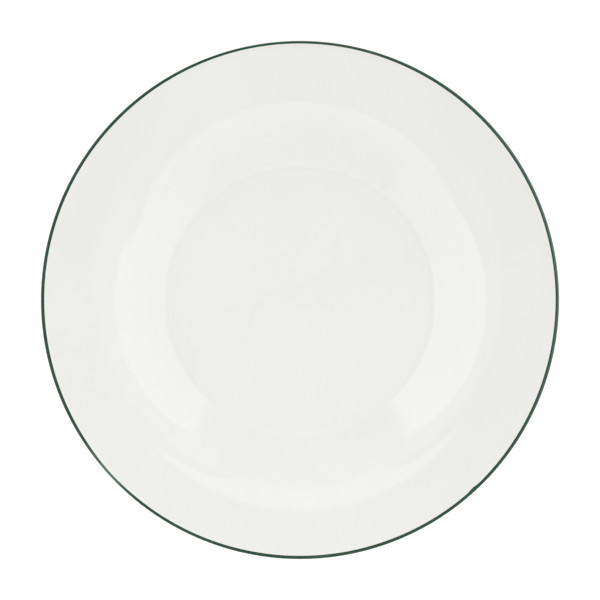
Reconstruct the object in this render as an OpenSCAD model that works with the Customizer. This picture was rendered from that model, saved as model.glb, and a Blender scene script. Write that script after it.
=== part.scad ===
// China dinner plate: a flat well, a sloping wall, a soft shoulder and a wide shallow rim, all
// shaped from one piece of clay, with a low foot ring luted under the edge of the well.
// Clear glaze coats everything but the foot, and a green line is fired round the lip.
//
// Every round piece is one section, turned about Z. The section of the finished plate is a run
// of straight faces joined by tangent arcs, so a coat of glaze is the same run moved outwards.
// Z = 0 is the table, and the origin is the middle of the foot.

/* [Plate] */
// Diameter over the glazed lip
plate_d = 270; // [250:1:300]
// Thickness of the base under the well, glaze included
base_t = 4.2; // [3.6:0.1:5]
// Thickness of the rim at its lip, which is a full round
lip_t = 2.8; // [2.8:0.1:3.4]

/* [Well, wall and rim] */
// Diameter of the flat floor of the well
well_d = 138; // [130:1:142]
// Radius of the bend between the well and the wall
bend_r = 8; // [6:1:12]
// Slope of the wall in degrees
wall_angle = 25; // [22:1:28]
// Diameter at which the wall starts to roll over
wall_top_d = 180; // [174:1:186]
// Radius of the soft shoulder between the wall and the rim
shoulder_r = 82; // [78:1:86]
// Slope of the rim in degrees
rim_angle = 10; // [8:1:12]
// Radius of the shoulder on the underside
under_shoulder_r = 77; // [73:1:81]
// How much steeper the underside is, which thickens the plate from the lip to the foot
under_taper = 1.2; // [0.8:0.1:1.4]

/* [Foot ring] */
// Diameter of the middle of the foot
foot_d = 147; // [144:1:150]
// Height of the base above the table
foot_h = 3; // [2.8:0.1:3.6]
// Width of the foot at the table, before its two edges are rounded
foot_w = 3.8; // [3.6:0.1:4.6]
// Lean of the foot's flanks from upright, in degrees
flank_lean = 12; // [8:1:16]
// Radius of the foot's two edges
foot_edge_r = 0.7; // [0.5:0.1:0.8]
// Height above the table of the joint where the ring is luted on
luting_h = 1.6; // [1.5:0.1:1.7]
// Radius of the fillets at the root of the foot
foot_fillet_r = 1.2; // [1:0.1:1.2]
// Height that the middle of the base is crowned above its edge, so that the plate can't rock
base_crown = 0.4; // [0.2:0.1:0.6]

/* [Glaze and line] */
// Thickness of the glaze
glaze_t = 0.25; // [0.2:0.05:0.3]
// Height above the table at which the glaze stops on the foot
glaze_line_h = 1.2; // [1.1:0.1:1.3]
// Width of the green line seen from above
line_w = 1.5; // [1.2:0.1:1.5]
// How far the line wraps under the lip, in degrees below level
line_wrap = 35; // [20:5:50]
// How far the fired line stands proud of the glaze
line_proud = 0.06; // [0:0.02:0.1]

/* [Hidden] */
$fn = 240;
// The most that an arc's chords may stand off it
chord_error = 0.015;

plate_r = plate_d / 2;
lip_r = lip_t / 2;
floor_h = foot_h + base_t;
under_wall_angle = wall_angle + under_taper;
under_rim_angle = rim_angle + under_taper;
crown_angle = atan(base_crown / (foot_d / 2));

// The outward normals of the straight faces, in degrees from the +X side of the section
up = 90;
down = -90;
wall_up = up + wall_angle;
rim_up = up + rim_angle;
rim_under = down + under_rim_angle;
wall_under = down + under_wall_angle;
flank_out = -flank_lean;
flank_in = -180 + flank_lean;
base_under = down - crown_angle;

function direction(normal) = [cos(normal), sin(normal)];

// A straight face is [normal, distance]: its points lie that distance from the origin along the normal
function face_through(point, normal) = [normal, point * direction(normal)];
function moved(face, out) = [face[0], face[1] + out];

// The point where two faces meet
function meet(a, b) =
    let (turn = sin(b[0] - a[0]))
    [(a[1] * sin(b[0]) - b[1] * sin(a[0])) / turn, (b[1] * cos(a[0]) - a[1] * cos(b[0])) / turn];

// The point of a face at a given radius from the plate's axis, or at a given height
function at_radius(face, r) = [r, (face[1] - r * cos(face[0])) / sin(face[0])];
function at_height(face, h) = [(face[1] - h * sin(face[0])) / cos(face[0]), h];

// An arc is [centre, radius, first normal, last normal]. The radius is negative where the
// surface is hollow. It joins two faces and touches both.
function arc_between(a, b, radius) = [meet(moved(a, -radius), moved(b, -radius)), radius, a[0], b[0]];

// An arc's points after the surface has moved outwards. The steps suit the arc's own radius,
// so the two sides of a coat have the same number of points.
function arc_points(arc, out = 0) =
    let (widest_step = 2 * acos(1 - chord_error / abs(arc[1])))
    let (steps = ceil(abs(arc[3] - arc[2]) / widest_step))
    [for (i = [0:steps]) arc[0] + (arc[1] + out) * direction(arc[2] + (arc[3] - arc[2]) * i / steps)];

// The finished surface, from the middle of the well out to the lip
well_face = [up, floor_h];
bend_centre = [well_d / 2, floor_h + bend_r];
wall_face = [wall_up, bend_centre * direction(wall_up) - bend_r];
shoulder_centre = at_radius(wall_face, wall_top_d / 2) - shoulder_r * direction(wall_up);
rim_face = [rim_up, shoulder_centre * direction(rim_up) + shoulder_r];
lip_centre = at_radius(moved(rim_face, -lip_r), plate_r - lip_r);

// The finished surface, from the lip back under the plate to the foot and the base
rim_under_face = moved(face_through(lip_centre, rim_under), lip_r);
shoulder_end_r = shoulder_centre[0] - shoulder_r * sin(rim_angle);
under_shoulder_centre = at_radius(rim_under_face, shoulder_end_r) + under_shoulder_r * direction(rim_under);
wall_under_face = moved(face_through(under_shoulder_centre, wall_under), -under_shoulder_r);
flank_out_face = face_through([(foot_d + foot_w) / 2, 0], flank_out);
flank_in_face = face_through([(foot_d - foot_w) / 2, 0], flank_in);
base_face = face_through([0, foot_h + base_crown], base_under);
table_face = [down, 0];

bend = arc_between(well_face, wall_face, -bend_r);
shoulder = arc_between(wall_face, rim_face, shoulder_r);
lip = [lip_centre, lip_r, rim_up, rim_under];
under_shoulder = arc_between(rim_under_face, wall_under_face, -under_shoulder_r);
root_out = arc_between(wall_under_face, flank_out_face, -foot_fillet_r);
root_in = arc_between(flank_in_face, base_face, -foot_fillet_r);

// The foot is bare clay: its flanks lie a glaze thickness in, and it stands on the table
bare_flank_out = moved(flank_out_face, -glaze_t);
bare_flank_in = moved(flank_in_face, -glaze_t);
foot_edge_out = arc_between(bare_flank_out, table_face, foot_edge_r);
foot_edge_in = arc_between(table_face, bare_flank_in, foot_edge_r);

// The green line covers the lip between these two normals
line_top = acos((lip_r - line_w) / lip_r);
line_bottom = -line_wrap;

// The surface over the well, wall and rim up to the line, and from the line back to the foot
function front_points(out) = concat(
    [at_radius(moved(well_face, out), 0)],
    arc_points(bend, out),
    arc_points(shoulder, out),
    arc_points([lip_centre, lip_r, rim_up, line_top], out));
function line_points(out) = arc_points([lip_centre, lip_r, line_top, line_bottom], out);
function back_points(out) = concat(
    arc_points([lip_centre, lip_r, line_bottom, rim_under], out),
    arc_points(under_shoulder, out),
    arc_points(root_out, out));
function base_points(out) = concat(arc_points(root_in, out), [at_radius(moved(base_face, out), 0)]);

function backwards(points) = [for (i = [len(points) - 1:-1:0]) points[i]];

// Turns a section about the plate's axis
module turned(section) {
    rotate_extrude() polygon(section);
}

// Fired clay: the well, wall and rim in one, down to where the foot is luted on
module plate_body() {
    color("ivory") turned(concat(
        front_points(-glaze_t),
        line_points(-glaze_t),
        back_points(-glaze_t),
        [at_height(bare_flank_out, luting_h), at_height(bare_flank_in, luting_h)],
        base_points(-glaze_t)));
}

// Bare clay ring that the plate stands on, with a flat bearing face between two rounded edges
module foot_ring() {
    color("antiquewhite") turned(concat(
        [at_height(bare_flank_in, luting_h), at_height(bare_flank_out, luting_h)],
        arc_points(foot_edge_out),
        arc_points(foot_edge_in)));
}

// Glaze over the eating face, from the middle of the well to the green line
module front_glaze() {
    color("whitesmoke") turned(concat(front_points(0), backwards(front_points(-glaze_t))));
}

// Green enamel line round the lip, fired into the glaze and a little proud of it
module rim_line() {
    color("darkslategray") turned(concat(line_points(line_proud), backwards(line_points(-glaze_t))));
}

// Glaze under the rim and wall, from the green line down to the glaze line on the foot
module back_glaze() {
    color("whitesmoke") turned(concat(
        back_points(0),
        [at_height(flank_out_face, glaze_line_h), at_height(bare_flank_out, glaze_line_h)],
        backwards(back_points(-glaze_t))));
}

// Glaze on the base inside the foot ring
module base_glaze() {
    color("whitesmoke") turned(concat(
        [at_height(flank_in_face, glaze_line_h)],
        base_points(0),
        backwards(base_points(-glaze_t)),
        [at_height(bare_flank_in, glaze_line_h)]));
}

plate_body();
foot_ring();
front_glaze();
rim_line();
back_glaze();
base_glaze();
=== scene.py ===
from math import acos, atan, atan2, ceil, cos, degrees, exp, pi, radians, sin

import bmesh
import bpy
from mathutils import Matrix, Vector


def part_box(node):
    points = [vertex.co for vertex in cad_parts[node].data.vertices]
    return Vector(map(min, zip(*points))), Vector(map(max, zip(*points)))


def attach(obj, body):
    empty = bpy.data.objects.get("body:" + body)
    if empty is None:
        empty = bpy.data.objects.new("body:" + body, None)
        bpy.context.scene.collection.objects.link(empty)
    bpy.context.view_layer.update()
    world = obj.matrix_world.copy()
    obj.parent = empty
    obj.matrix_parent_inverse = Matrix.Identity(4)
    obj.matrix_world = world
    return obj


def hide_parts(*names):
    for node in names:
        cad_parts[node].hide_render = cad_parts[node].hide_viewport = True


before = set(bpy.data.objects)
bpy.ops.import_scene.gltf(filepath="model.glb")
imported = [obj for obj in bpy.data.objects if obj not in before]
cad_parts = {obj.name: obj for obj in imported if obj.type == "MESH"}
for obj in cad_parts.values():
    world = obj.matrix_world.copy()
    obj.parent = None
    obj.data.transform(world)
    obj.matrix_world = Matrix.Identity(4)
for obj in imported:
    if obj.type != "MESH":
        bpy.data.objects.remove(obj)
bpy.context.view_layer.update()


# ---- Plate body ---------------------------------------------------------------------------
# White clay, shaped in one piece to a flat well, a sloping wall, a soft shoulder and a wide
# rim, and fired hard. The glaze and the foot hide all of it, so the finished surface is set
# out here, and the body is what lies a glaze thickness inside it.

glaze_t = 0.00025
base_t = 0.0042
lip_r = 0.0014
well_r = 0.069
bend_r = 0.008
wall_top_r = 0.090
shoulder_r = 0.082
under_shoulder_r = 0.077
wall_angle = 25
rim_angle = 10
under_taper = 1.2

foot_r = 0.0735
foot_h = 0.003
foot_half_w = 0.0019
flank_lean = 12
foot_edge_r = 0.0007
foot_fillet_r = 0.0012
base_crown = 0.0004
luting_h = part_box("foot_ring")[1].z

line_proud = 0.00006
plate_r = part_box("rim_line")[1].x - line_proud
floor_h = foot_h + base_t

# The outward normals of the straight faces, in degrees up from the outward side of a section
up, down = 90, -90
wall_up, rim_up = up + wall_angle, up + rim_angle
rim_under, wall_under = down + rim_angle + under_taper, down + wall_angle + under_taper
flank_out, flank_in = -flank_lean, -180 + flank_lean
base_under = down - degrees(atan(base_crown / foot_r))


def toward(normal):
    return Vector((cos(radians(normal)), sin(radians(normal))))


# A straight face is its normal and its distance from the section's origin along that normal
def face_through(point, normal):
    return normal, point.dot(toward(normal))


def moved(face, out):
    return face[0], face[1] + out


def meet(a, b):
    """The point where two straight faces meet."""
    (na, da), (nb, db) = (toward(a[0]), a[1]), (toward(b[0]), b[1])
    turn = na.cross(nb)
    return Vector(((da * nb.y - db * na.y) / turn, (db * na.x - da * nb.x) / turn))


def at_radius(face, r):
    normal = toward(face[0])
    return Vector((r, (face[1] - r * normal.x) / normal.y))


def at_height(face, h):
    normal = toward(face[0])
    return Vector(((face[1] - h * normal.y) / normal.x, h))


def arc_between(a, b, radius):
    """An arc that joins two faces: centre, radius (negative where hollow), first and last normal."""
    return meet(moved(a, -radius), moved(b, -radius)), radius, a[0], b[0]


well_face = up, floor_h
bend_centre = Vector((well_r, floor_h + bend_r))
wall_face = moved(face_through(bend_centre, wall_up), -bend_r)
shoulder_centre = at_radius(wall_face, wall_top_r) - shoulder_r * toward(wall_up)
rim_face = moved(face_through(shoulder_centre, rim_up), shoulder_r)
lip_centre = at_radius(moved(rim_face, -lip_r), plate_r - lip_r)
rim_under_face = moved(face_through(lip_centre, rim_under), lip_r)
shoulder_end_r = shoulder_centre.x - shoulder_r * sin(radians(rim_angle))
under_shoulder_centre = at_radius(rim_under_face, shoulder_end_r) + under_shoulder_r * toward(rim_under)
wall_under_face = moved(face_through(under_shoulder_centre, wall_under), -under_shoulder_r)
flank_out_face = face_through(Vector((foot_r + foot_half_w, 0)), flank_out)
flank_in_face = face_through(Vector((foot_r - foot_half_w, 0)), flank_in)
base_face = face_through(Vector((0, foot_h + base_crown)), base_under)

bend = arc_between(well_face, wall_face, -bend_r)
shoulder = arc_between(wall_face, rim_face, shoulder_r)
lip_over = lip_centre, lip_r, rim_up, 0
lip_under = lip_centre, lip_r, 0, rim_under
under_shoulder = arc_between(rim_under_face, wall_under_face, -under_shoulder_r)
root_out = arc_between(wall_under_face, flank_out_face, -foot_fillet_r)
root_in = arc_between(flank_in_face, base_face, -foot_fillet_r)
bare_flank_out = moved(flank_out_face, -glaze_t)
bare_flank_in = moved(flank_in_face, -glaze_t)

# An arc's chords stand this far off it at most, and a straight is divided at least this often.
# The coats that meet at the lip are turned in the same finer steps, so that their edges agree.
chord_error = 0.000002
straight_step = 0.003
turns = 256
lip_turns = 512
# A turned piece starts as a wedge, doubled this many times, and its joins close up within this
doublings = 4
join_gap = 0.000001
# Edges that bend by more degrees than this stay crisp
crisp_angle = 40


def line_to(bm, tip, point):
    tip = bmesh.ops.extrude_vert_indiv(bm, verts=[tip])["verts"][0]
    tip.co = point.x, 0, point.y
    return tip


def draw(bm, tip, run, out=0.0):
    """Draws a run of points and arcs on from the tip, the arcs moved outwards by a coat's thickness."""
    for item in run:
        if isinstance(item, Vector):
            tip = line_to(bm, tip, item)
            continue
        centre, radius, first, last = item
        tip = line_to(bm, tip, centre + (radius + out) * toward(first))
        steps = ceil(abs(radians(last - first)) / (2 * acos(1 - chord_error / abs(radius))))
        swept = bmesh.ops.spin(bm, geom=[tip], cent=(centre.x, 0, centre.y), axis=(0, -1, 0),
                               angle=radians(last - first), steps=steps)
        tip = swept["geom_last"][0]
    return tip


def backwards(run):
    return [item if isinstance(item, Vector) else (item[0], item[1], item[3], item[2])
            for item in reversed(run)]


def turned(start, runs, closed=True, around=turns):
    """Draws a section from its start point along its runs, and turns it about the plate's axis
    as one wedge, doubled until it goes all round. A section that starts and ends on the axis
    isn't closed: its two poles close it."""
    bm = bmesh.new()
    first = tip = bm.verts.new((start.x, 0, start.y))
    for run, out in runs:
        tip = draw(bm, tip, run, out)
    if closed:
        bm.edges.new((tip, first))
    for edge in bm.edges[:]:
        cuts = ceil(edge.calc_length() / straight_step) - 1
        if cuts:
            bmesh.ops.subdivide_edges(bm, edges=[edge], cuts=cuts)
    wedges = 2 ** doublings
    wedge = 2 * pi / wedges
    bmesh.ops.spin(bm, geom=bm.verts[:] + bm.edges[:], cent=(0, 0, 0), axis=(0, 0, 1),
                   angle=wedge, steps=around // wedges)
    # The sweep makes its faces in no fixed order, so they are put in the order of their corners
    bm.verts.index_update()
    in_order = sorted(bm.faces, key=lambda face: sorted(vert.index for vert in face.verts))
    for place, face in enumerate(in_order):
        face.index = place
    bm.faces.sort()
    for doubling in range(doublings):
        copy = bmesh.ops.duplicate(bm, geom=bm.verts[:] + bm.edges[:] + bm.faces[:])["geom"]
        bmesh.ops.rotate(bm, verts=[item for item in copy if isinstance(item, bmesh.types.BMVert)],
                         cent=(0, 0, 0), matrix=Matrix.Rotation(wedge * 2 ** doubling, 3, "Z"))
    bmesh.ops.remove_doubles(bm, verts=bm.verts, dist=join_gap)
    bmesh.ops.recalc_face_normals(bm, faces=bm.faces)
    return bm


def finished(name, bm, material):
    """Makes the piece from its mesh, smooth but for its real edges."""
    mesh = bpy.data.meshes.new(name)
    bm.to_mesh(mesh)
    bm.free()
    mesh.shade_smooth()
    mesh.set_sharp_from_angle(angle=radians(crisp_angle))
    mesh.materials.append(material)
    piece = bpy.data.objects.new(name, mesh)
    bpy.context.scene.collection.objects.link(piece)
    return piece


def colour(code):
    """The linear colour of an sRGB hex value."""
    parts = [int(code[i:i + 2], 16) / 255 for i in (1, 3, 5)]
    return tuple(c / 12.92 if c <= 0.04045 else ((c + 0.055) / 1.055) ** 2.4 for c in parts) + (1,)


def add(tree, kind, settings=None, inputs=None):
    """Adds a node with its settings. An input is a value, or the socket that feeds it."""
    node = tree.nodes.new("ShaderNode" + kind)
    for key, value in (settings or {}).items():
        setattr(node, key, value)
    for key, value in (inputs or {}).items():
        if isinstance(value, bpy.types.NodeSocket):
            tree.links.new(value, node.inputs[key])
        else:
            node.inputs[key].default_value = value
    return node


def new_material(name):
    """An empty material: its node tree, and the piece's own coordinates in metres."""
    material = bpy.data.materials.new(name)
    material.use_nodes = True
    tree = material.node_tree
    tree.nodes.clear()
    return material, tree, add(tree, "TexCoord").outputs["Object"]


def fired_clay():
    """Hard-fired white clay, unglazed: matt, faintly warm, with a fine grain of quartz and felspar."""
    grain_mm, cloud_mm = 0.25, 12
    grain_depth = 0.00002
    material, tree, place = new_material("fired_white_clay")
    grain = add(tree, "TexNoise", inputs={"Vector": place, "Scale": 1000 / grain_mm, "Detail": 3})
    cloud = add(tree, "TexNoise", inputs={"Vector": place, "Scale": 1000 / cloud_mm, "Detail": 2})
    speck = add(tree, "Math", {"operation": "MULTIPLY"}, {0: grain.outputs["Fac"], 1: cloud.outputs["Fac"]})
    tint = add(tree, "ValToRGB", inputs={"Fac": speck.outputs[0]})
    tint.color_ramp.elements[0].color = colour("#d9d1c2")
    tint.color_ramp.elements[1].color = colour("#f3efe6")
    tint.color_ramp.elements[1].position = 0.45
    bump = add(tree, "Bump", inputs={
        "Strength": 1.0, "Distance": grain_depth, "Height": grain.outputs["Fac"]})
    shader = add(tree, "BsdfPrincipled", inputs={
        "Base Color": tint.outputs["Color"], "Roughness": 0.75, "IOR": 1.5, "Normal": bump.outputs["Normal"]})
    add(tree, "OutputMaterial", inputs={"Surface": shader.outputs["BSDF"]})
    return material


eating_side = [bend, shoulder, lip_over]
back_side = [lip_under, under_shoulder, root_out]
clay_foot_gap = [at_height(bare_flank_out, luting_h), at_height(bare_flank_in, luting_h)]
base_middle = at_radius(moved(base_face, -glaze_t), 0)

plate_body = finished("clay_body", turned(
    Vector((0, floor_h - glaze_t)),
    [(eating_side + back_side, -glaze_t), (clay_foot_gap, 0), ([root_in, base_middle], -glaze_t)],
    closed=False), fired_clay())
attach(plate_body, "root")
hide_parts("plate_body")


# ---- Foot ring ----------------------------------------------------------------------------
# Low ring of the same clay, luted under the edge of the well. Its two edges are rounded, and
# its bearing face is left bare and rubbed smooth, so that it doesn't stick to the kiln shelf.

table_face = down, 0.0
foot_edge_out = arc_between(bare_flank_out, table_face, foot_edge_r)
foot_edge_in = arc_between(table_face, bare_flank_in, foot_edge_r)


def rubbed_foot():
    """Bare clay, polished where it bears and greyed by tables and stacked plates."""
    grain_mm, smudge_mm = 0.3, 9
    grain_depth = 0.00003
    rubbed_h = 0.0001
    material, tree, place = new_material("rubbed_bare_clay")
    grain = add(tree, "TexNoise", inputs={"Vector": place, "Scale": 1000 / grain_mm, "Detail": 4})
    smudge = add(tree, "TexNoise", inputs={"Vector": place, "Scale": 1000 / smudge_mm, "Detail": 3})
    height = add(tree, "SeparateXYZ", inputs={"Vector": place}).outputs["Z"]
    bearing = add(tree, "MapRange", {"interpolation_type": "SMOOTHSTEP"}, {
        "Value": height, "From Min": foot_edge_r, "From Max": rubbed_h, "To Min": 0.0, "To Max": 1.0})
    clay = add(tree, "ValToRGB", inputs={"Fac": grain.outputs["Fac"]})
    clay.color_ramp.elements[0].position, clay.color_ramp.elements[1].position = 0.35, 0.65
    clay.color_ramp.elements[0].color = colour("#d3cabb")
    clay.color_ramp.elements[1].color = colour("#ece6da")
    soiled = add(tree, "Math", {"operation": "MULTIPLY"}, {
        0: bearing.outputs["Result"], 1: smudge.outputs["Fac"]})
    tint = add(tree, "Mix", {"data_type": "RGBA"}, {
        0: soiled.outputs[0], 6: clay.outputs["Color"], 7: colour("#b3aca1")})
    rough = add(tree, "MapRange", inputs={
        "Value": bearing.outputs["Result"], "To Min": 0.8, "To Max": 0.55})
    bump = add(tree, "Bump", inputs={
        "Strength": 1.0, "Distance": grain_depth, "Height": grain.outputs["Fac"]})
    shader = add(tree, "BsdfPrincipled", inputs={
        "Base Color": tint.outputs[2], "Roughness": rough.outputs["Result"], "IOR": 1.5,
        "Normal": bump.outputs["Normal"]})
    add(tree, "OutputMaterial", inputs={"Surface": shader.outputs["BSDF"]})
    return material


foot_ring = finished("bare_foot_ring", turned(
    at_height(bare_flank_in, luting_h),
    [([at_height(bare_flank_out, luting_h), foot_edge_out, foot_edge_in], 0)]), rubbed_foot())
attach(foot_ring, "root")
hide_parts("foot_ring")


# ---- Front glaze --------------------------------------------------------------------------
# Clear glaze fired over the white clay of the eating face. It runs on under the green line to
# the outermost edge of the lip, where the glaze of the back meets it.


def white_glaze():
    """Feldspathic clear glaze on white clay: a cool white and glossy, with the slow swell of a
    dipped coat, a fine orange peel, and faint clouds where the coat is a little thicker."""
    swell_mm, peel_mm, cloud_mm = 34, 2.5, 45
    swell_depth, peel_depth = 0.00001, 0.0000004
    material, tree, place = new_material("clear_glaze_on_white_clay")
    swell = add(tree, "TexNoise", inputs={"Vector": place, "Scale": 1000 / swell_mm, "Detail": 1})
    peel = add(tree, "TexNoise", inputs={"Vector": place, "Scale": 1000 / peel_mm, "Detail": 2})
    cloud = add(tree, "TexNoise", inputs={"Vector": place, "Scale": 1000 / cloud_mm, "Detail": 3})
    tint = add(tree, "ValToRGB", inputs={"Fac": cloud.outputs["Fac"]})
    tint.color_ramp.elements[0].position, tint.color_ramp.elements[1].position = 0.3, 0.7
    tint.color_ramp.elements[0].color = colour("#eeeeeb")
    tint.color_ramp.elements[1].color = colour("#f0f0ed")
    waves = add(tree, "Bump", inputs={
        "Strength": 1.0, "Distance": swell_depth, "Height": swell.outputs["Fac"]})
    bump = add(tree, "Bump", inputs={
        "Strength": 1.0, "Distance": peel_depth, "Height": peel.outputs["Fac"],
        "Normal": waves.outputs["Normal"]})
    rough = add(tree, "MapRange", inputs={"Value": cloud.outputs["Fac"], "To Min": 0.05, "To Max": 0.08})
    shader = add(tree, "BsdfPrincipled", inputs={
        "Base Color": tint.outputs["Color"], "Roughness": rough.outputs["Result"], "IOR": 1.5,
        "Normal": bump.outputs["Normal"]})
    add(tree, "OutputMaterial", inputs={"Surface": shader.outputs["BSDF"]})
    return material


glaze = white_glaze()
lip_edge_inside = lip_centre + Vector((lip_r - glaze_t, 0))
front_glaze = finished("front_glaze_coat", turned(
    Vector((0, floor_h)),
    [(eating_side, 0), ([lip_edge_inside], 0), (backwards(eating_side), -glaze_t),
     ([Vector((0, floor_h - glaze_t))], 0)], closed=False, around=lip_turns), glaze)
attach(front_glaze, "root")
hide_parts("front_glaze")


# ---- Green line ---------------------------------------------------------------------------
# Green enamel, banded round the lip by hand on a turning wheel and fired into the glaze. The
# brush presses harder in some places than in others, runs dry once, and lifts with a small blob.

line_w = 0.00184
line_wrap = 35
line_sunk = 0.00002
# Swings of the brush: waves in one turn, depth in metres, and where the first crest comes
pressure_swings = (1, 0.00009, 315), (2, 0.00012, 0), (3, 0.00007, 35), (5, 0.00006, 55)
dry_at, dry_spread, dry_narrowing = 222, 6, 0.0002
# The paler stretch, a painted reflection of the right-hand soft boxes on the lip's outer side: its azimuth,
# how pale it gets, and where across the line it sets in. Higher powers narrow the stretch, and keep the
# line's full thickness closer to its two edges.
pale_at, pale_most = 12, 0.8
pale_from, pale_to = 0.1, 0.3
pale_power, edge_power = 4, 6
lift_at, lift_spread, lift_blob = 312.6, 1.0, 0.0004


def bump_at(azimuth, middle, spread):
    """1 at the middle, falling off to either side over the spread, in degrees."""
    apart = (azimuth - middle + 180) % 360 - 180
    return exp(-(apart / spread) ** 2)


def brushed_width(azimuth):
    width = line_w
    for waves, depth, crest in pressure_swings:
        width += depth * cos(radians(waves * (azimuth - crest)))
    width -= dry_narrowing * bump_at(azimuth, dry_at, dry_spread)
    return width + lift_blob * bump_at(azimuth, lift_at, lift_spread)


def on_lip(normal, out):
    """A point over the lip at a normal, which past the rim's own runs straight on along the rim."""
    past = max(0.0, normal - rim_up)
    along = toward(rim_up + 90) * lip_r * radians(past)
    return lip_centre + (lip_r + out) * toward(min(normal, rim_up)) + along


def inner_normal(width):
    """The normal over the lip at which the line is that wide, seen from above."""
    full = lip_r * (1 - cos(radians(rim_up)))
    if width <= full:
        return degrees(acos((lip_r - width) / lip_r))
    return rim_up + degrees((width - full) / cos(radians(rim_angle)) / lip_r)


def brush_out(bm):
    """Slides the turned line round the lip to the brush's own width, thin at its two edges."""
    across = bm.verts.layers.float.new("across")
    thin_and_sheen = bm.verts.layers.float.new("thin_and_sheen")
    top = inner_normal(line_w)
    middle_out = (line_proud - line_sunk) / 2
    for vert in bm.verts:
        r, azimuth = vert.co.xy.length, degrees(atan2(vert.co.y, vert.co.x))
        from_centre = Vector((r, vert.co.z)) - lip_centre
        normal = degrees(atan2(from_centre.y, from_centre.x))
        share = (top - normal) / (top + line_wrap)
        wanted = inner_normal(brushed_width(azimuth))
        normal = wanted - share * (wanted + line_wrap)
        out = line_proud if from_centre.length - lip_r > middle_out else -line_sunk
        if out > 0:
            out = line_proud * (1 - abs(2 * share - 1) ** edge_power) - line_sunk / 2
        place = on_lip(normal, out)
        around = vert.co.xy.normalized() * place.x
        vert.co = around.x, around.y, place.y
        vert[across] = share
        # The pale stretch facing right is a painted reflection of the right-hand lights, added to the thin
        # enamel where the brush ran dry
        pale = min(1.0, max(0.0, (share - pale_from) / (pale_to - pale_from)))
        facing = max(0.0, cos(radians(azimuth - pale_at))) ** pale_power
        vert[thin_and_sheen] = min(1.0, bump_at(azimuth, dry_at, dry_spread) + pale_most * pale * facing)


def green_enamel():
    """Chrome green enamel, fired glossy: dark where the brush pools, thinner and paler in its streaks and
    where the brush ran dry, and paler round the lip to the right, where a reflection of the right-hand lights
    is painted in."""
    # The streaks are coarser than a fine brush would leave, so that they show
    streak_mm, streak_length_mm = 0.3, 14
    streak_depth = 0.00001
    thin_and_sheen_most = 0.5
    material, tree, place = new_material("fired_green_enamel")
    across = add(tree, "Attribute", {"attribute_name": "across"}).outputs["Fac"]
    # Thin enamel where the brush ran dry, plus the painted reflection round the lip to the right
    thin_and_sheen = add(tree, "Attribute", {"attribute_name": "thin_and_sheen"}).outputs["Fac"]
    flat = add(tree, "VectorMath", {"operation": "MULTIPLY"}, {0: place, 1: (1, 1, 0)})
    around = add(tree, "VectorMath", {"operation": "NORMALIZE"}, {0: flat.outputs[0]})
    lengthwise = add(tree, "VectorMath", {"operation": "SCALE"}, {
        0: around.outputs[0], "Scale": plate_r * 1000 / streak_length_mm})
    crosswise = add(tree, "CombineXYZ", inputs={"Z": across})
    lap_mm = lip_r * radians(inner_normal(line_w) + line_wrap) * 1000
    spread = add(tree, "VectorMath", {"operation": "SCALE"}, {
        0: crosswise.outputs[0], "Scale": lap_mm / streak_mm})
    drawn = add(tree, "VectorMath", {"operation": "ADD"}, {0: lengthwise.outputs[0], 1: spread.outputs[0]})
    streaks = add(tree, "TexNoise", inputs={"Vector": drawn.outputs[0], "Scale": 1.0, "Detail": 3})
    paint = add(tree, "ValToRGB", inputs={"Fac": streaks.outputs["Fac"]})
    paint.color_ramp.elements[0].position, paint.color_ramp.elements[1].position = 0.3, 0.75
    paint.color_ramp.elements[0].color = colour("#072a1a")
    paint.color_ramp.elements[1].color = colour("#16543b")
    # Paler where the brush ran dry, and paler still in the painted reflection round the lip to the right
    thin_and_sheen_fade = add(tree, "Math", {"operation": "MULTIPLY"}, {0: thin_and_sheen, 1: thin_and_sheen_most})
    tint = add(tree, "Mix", {"data_type": "RGBA"}, {
        0: thin_and_sheen_fade.outputs[0], 6: paint.outputs["Color"], 7: colour("#6b8a79")})
    bump = add(tree, "Bump", inputs={
        "Strength": 1.0, "Distance": streak_depth, "Height": streaks.outputs["Fac"]})
    shader = add(tree, "BsdfPrincipled", inputs={
        "Base Color": tint.outputs[2], "Roughness": 0.22, "IOR": 1.52, "Specular IOR Level": 0.38,
        "Normal": bump.outputs["Normal"]})
    add(tree, "OutputMaterial", inputs={"Surface": shader.outputs["BSDF"]})
    return material


enamel_over = lip_centre, lip_r, inner_normal(line_w), -line_wrap
start = lip_centre + (lip_r + line_proud) * toward(inner_normal(line_w))
brushed = turned(start, [
    ([enamel_over], line_proud), (backwards([enamel_over]), -line_sunk)], around=lip_turns)
brush_out(brushed)
rim_line = finished("green_rim_line", brushed, green_enamel())
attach(rim_line, "root")
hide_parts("rim_line")


# ---- Back glaze ---------------------------------------------------------------------------
# The same glaze under the rim and wall. It is wiped off the foot before firing, and ends
# in a square edge on the foot's outer flank.

glaze_line_h = 0.0012
back_glaze = finished("back_glaze_coat", turned(
    lip_centre + Vector((lip_r, 0)),
    [(back_side, 0), ([at_height(flank_out_face, glaze_line_h), at_height(bare_flank_out, glaze_line_h)], 0),
     (backwards(back_side), -glaze_t)], around=lip_turns), glaze)
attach(back_glaze, "root")
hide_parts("back_glaze")


# ---- Base glaze ---------------------------------------------------------------------------
# Glaze inside the foot ring, over a base that is crowned so that the plate can't rock on it.

base_glaze = finished("base_glaze_coat", turned(
    base_middle,
    [(backwards([root_in]), -glaze_t),
     ([at_height(bare_flank_in, glaze_line_h), at_height(flank_in_face, glaze_line_h)], 0),
     ([root_in, at_radius(base_face, 0)], 0)], closed=False), glaze)
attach(base_glaze, "root")
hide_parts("base_glaze")


# ---- Studio -------------------------------------------------------------------------------
# The plate stands on a white table in a pale room. Two soft boxes hang in a row to its left
# and two to its right, with a smaller one behind it and a wide one in front. The camera hangs
# straight above.

camera_h = 1.2
frame_fill = 0.8638
sensor_mm = 36.0
table_reach = 8.0

table_mesh = bmesh.new()
bmesh.ops.create_grid(table_mesh, x_segments=2, y_segments=2, size=table_reach)


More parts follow.
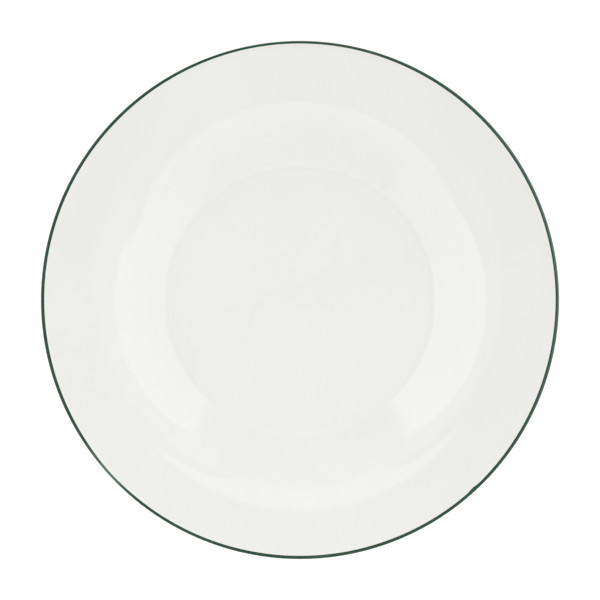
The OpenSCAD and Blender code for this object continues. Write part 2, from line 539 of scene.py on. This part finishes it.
def white_table():
    """Matt white board: even, with the faintest tooth."""
    tooth_mm = 1.1
    material, tree, place = new_material("white_table_board")
    tooth = add(tree, "TexNoise", inputs={"Vector": place, "Scale": 1000 / tooth_mm, "Detail": 2})
    tint = add(tree, "ValToRGB", inputs={"Fac": tooth.outputs["Fac"]})
    tint.color_ramp.elements[0].color = colour("#fafafa")
    tint.color_ramp.elements[1].color = colour("#ffffff")
    shader = add(tree, "BsdfPrincipled", inputs={
        "Base Color": tint.outputs["Color"], "Roughness": 0.9, "IOR": 1.3, "Specular IOR Level": 0.1,
        "Emission Color": (1, 1, 1, 1), "Emission Strength": 0.2})
    add(tree, "OutputMaterial", inputs={"Surface": shader.outputs["BSDF"]})
    return material


table = finished("white_table", table_mesh, white_table())


def soft_box(name, middle, length, width, power):
    """A flat light that faces straight down."""
    light = bpy.data.lights.new(name, "AREA")
    light.shape = "RECTANGLE"
    light.size, light.size_y = width, length
    light.energy = power
    lamp = bpy.data.objects.new(name, light)
    lamp.location = middle
    lamp.visible_camera = False
    bpy.context.scene.collection.objects.link(lamp)


box_h = 0.9
soft_box("right_box", (0.723, 0.225, box_h), 0.834, 0.428, 1.19)
soft_box("right_box_fill", (0.742, -0.404, box_h), 0.486, 0.278, 0.50)
soft_box("left_box", (-0.768, 0.309, box_h), 0.66, 0.568, 1.43)
soft_box("left_box_fill", (-0.71, -0.321, box_h), 0.702, 0.428, 1.20)
soft_box("back_box", (-0.02, 0.296, box_h), 0.322, 0.333, 0.34)
soft_box("front_box", (0.051, -0.61, box_h), 0.616, 1.092, 1.86)


def pale_room(walls, window, ceiling, panel):
    """White walls, brighter toward a window, under a dark ceiling with a pale panel overhead. The
    two overhead are soft round patches: the lean and azimuth of the middle and two radii, all in
    degrees, and the change in brightness."""
    world = bpy.data.worlds.new("pale_room")
    bpy.context.scene.world = world
    world.use_nodes = True
    tree = world.node_tree
    tree.nodes.clear()
    looking = add(tree, "TexCoord").outputs["Generated"]
    to_window = add(tree, "VectorMath", {"operation": "DOT_PRODUCT"}, {0: looking, 1: (*window, 0)})
    light = add(tree, "Math", {"operation": "ADD"}, {0: to_window.outputs["Value"], 1: walls})
    for lean, azimuth, inner, outer, change in (ceiling, panel):
        side = sin(radians(lean))
        middle = side * cos(radians(azimuth)), side * sin(radians(azimuth)), cos(radians(lean))
        to_middle = add(tree, "VectorMath", {"operation": "DOT_PRODUCT"}, {0: looking, 1: middle})
        patch = add(tree, "MapRange", {"interpolation_type": "SMOOTHSTEP"}, {
            "Value": to_middle.outputs["Value"], "From Min": cos(radians(outer)),
            "From Max": cos(radians(inner)), "To Min": 0.0, "To Max": change})
        light = add(tree, "Math", {"operation": "ADD"}, {0: light.outputs[0], 1: patch.outputs["Result"]})
    room = add(tree, "Background", inputs={"Color": (1, 1, 1, 1), "Strength": light.outputs[0]})
    add(tree, "OutputWorld", inputs={"Surface": room.outputs["Background"]})


pale_room(walls=0.774, window=(0.061, 0.18),
          ceiling=(10, 95, 21, 24, -0.6), panel=(3, 51, 6, 12.3, 0.51))

lens = bpy.data.cameras.new("camera")
lens.sensor_width = sensor_mm
lens.lens = sensor_mm * frame_fill * (camera_h - lip_centre.y) / (2 * (plate_r + line_proud))
camera = bpy.data.objects.new("camera", lens)
camera.location = 0, 0, camera_h
bpy.context.scene.collection.objects.link(camera)
bpy.context.scene.camera = camera
bpy.context.scene.view_settings.view_transform = "Standard"
